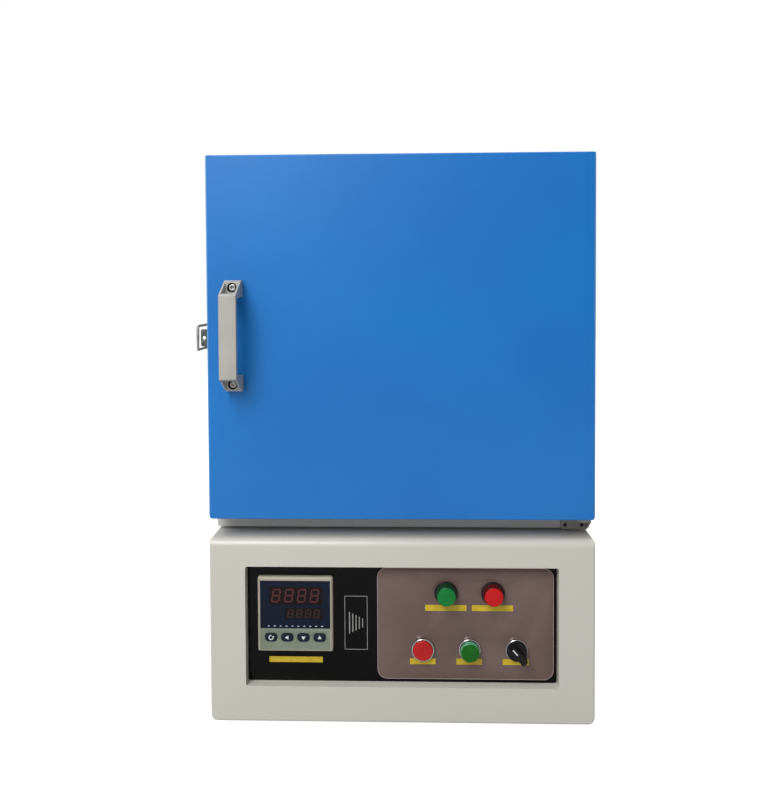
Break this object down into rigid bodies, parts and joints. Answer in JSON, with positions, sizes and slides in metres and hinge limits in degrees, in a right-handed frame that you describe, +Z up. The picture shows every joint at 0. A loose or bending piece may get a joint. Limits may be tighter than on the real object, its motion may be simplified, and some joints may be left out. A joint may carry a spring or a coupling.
{
  "type": "muffle furnace",
  "caption": "Bench muffle furnace: hinged blue door with bridge handle on a grey insulated body, over a control cabinet with a windowed panel of lamps and buttons.",
  "frame": {"origin": "middle of the rectangle that the furnace covers on the table, at the underside of its feet", "axes": "+X to the right seen from the front, +Y from the door towards the back, +Z up"},
  "size_m": [0.5022, 0.598, 0.739],
  "materials": {
    "grey_enamel": "satin",
    "blue_enamel": "satin",
    "steel_sheet": "satin",
    "plated_steel": "satin",
    "rubber_black": "matte",
    "acrylic_black": "gloss",
    "button_plate_finish": "gloss",
    "controller_grey": "matte",
    "controller_glass": "gloss",
    "display_dark": "gloss",
    "plastic_dark": "satin",
    "key_navy": "satin",
    "lens_green": "gloss",
    "lens_red": "gloss",
    "button_red": "satin",
    "chrome_ring": "polished",
    "aluminium_extruded": "satin",
    "plastic_white": "matte",
    "gland_plastic": "matte",
    "fibre_board": "matte",
    "muffle_ceramic": "matte",
    "element_alloy": "matte",
    "flue_steel": "satin",
    "bush_brass": "satin",
    "handle_grey": "matte"
  },
  "bodies": {
    "furnace": {"cabinet_shell": "grey_enamel", "cabinet_rear_panel": "grey_enamel", "cabinet_floor": "grey_enamel", "body_shell": "grey_enamel", "body_front_frame": "grey_enamel", "body_rear_panel": "grey_enamel", "inner_liner": "steel_sheet", "mounting_rail": "steel_sheet", "body_spacers": "steel_sheet", "hinge_brackets": "plated_steel", "hinge_pins": "plated_steel", "bracket_screws": "plated_steel", "latch_base": "plated_steel", "controller_clamps": "plated_steel", "element_terminals": "plated_steel", "rubber_feet": "rubber_black", "control_panel": "acrylic_black", "button_plate": "button_plate_finish", "controller_bezel": "controller_grey", "controller_window": "controller_glass", "display_blocks": "display_dark", "controller_case": "plastic_dark", "contact_blocks": "plastic_dark", "lamp_bodies": "plastic_dark", "lamp_collars": "plastic_dark", "panel_nuts": "plastic_dark", "solid_state_relay": "plastic_dark", "fan_frame": "plastic_dark", "green_lamp_lens": "lens_green", "red_lamp_lens": "lens_red", "button_bezels": "chrome_ring", "relay_heat_sink": "aluminium_extruded", "circuit_breaker": "plastic_white", "terminal_block": "plastic_white", "cord_gland": "gland_plastic", "insulation_boards": "fibre_board", "muffle_chamber": "muffle_ceramic", "flue_tube": "muffle_ceramic", "hearth_plate": "muffle_ceramic", "heating_elements": "element_alloy", "flue_collar": "flue_steel", "thermocouple": "flue_steel"},
    "door": {"door_skin": "blue_enamel", "door_inner_plate": "steel_sheet", "door_insulation": "fibre_board", "door_plug": "fibre_board", "door_gasket": "fibre_board", "hinge_bushes": "bush_brass", "handle": "handle_grey", "handle_screws": "plated_steel", "latch_keeper": "plated_steel"},
    "stop_button": {"stop_button": "button_red"},
    "start_button": {"start_button": "lens_green"},
    "selector_knob": {"selector_knob": "plastic_dark"},
    "key_set": {"key_set": "key_navy"},
    "key_shift": {"key_shift": "key_navy"},
    "key_down": {"key_down": "key_navy"},
    "key_up": {"key_up": "key_navy"},
    "fan_rotor": {"fan_rotor": "plastic_dark"},
    "latch_bail": {"latch_bail": "plated_steel"}
  },
  "joints": [
    {"name": "door_swing", "type": "hinge", "parent": "furnace", "child": "door", "pos_m": [0.2405, -0.237, 0.4975], "axis": [0, 0, 1], "range_deg": [0, 110]},
    {"name": "latch_swing", "type": "hinge", "parent": "furnace", "child": "latch_bail", "pos_m": [-0.2475, -0.181, 0.4973], "axis": [0, 0, 1], "range_deg": [-80, 7]},
    {"name": "stop_button_press", "type": "slide", "parent": "furnace", "child": "stop_button", "axis": [0, 1, 0], "range_m": [0, 0.003], "stiffness_N_per_m": 200},
    {"name": "start_button_press", "type": "slide", "parent": "furnace", "child": "start_button", "axis": [0, 1, 0], "range_m": [0, 0.003], "stiffness_N_per_m": 200},
    {"name": "selector_turn", "type": "hinge", "parent": "furnace", "child": "selector_knob", "pos_m": [0.1538, -0.259, 0.0988], "axis": [0, -1, 0], "range_deg": [0, 90]},
    {"name": "key_set_press", "type": "slide", "parent": "furnace", "child": "key_set", "axis": [0, 1, 0], "range_m": [0, 0.0008], "stiffness_N_per_m": 300},
    {"name": "key_shift_press", "type": "slide", "parent": "furnace", "child": "key_shift", "axis": [0, 1, 0], "range_m": [0, 0.0008], "stiffness_N_per_m": 300},
    {"name": "key_down_press", "type": "slide", "parent": "furnace", "child": "key_down", "axis": [0, 1, 0], "range_m": [0, 0.0008], "stiffness_N_per_m": 300},
    {"name": "key_up_press", "type": "slide", "parent": "furnace", "child": "key_up", "axis": [0, 1, 0], "range_m": [0, 0.0008], "stiffness_N_per_m": 300},
    {"name": "fan_spin", "type": "hinge", "parent": "furnace", "child": "fan_rotor", "pos_m": [-0.1125, 0.267, 0.126], "axis": [0, 1, 0], "continuous": true}
  ]
}
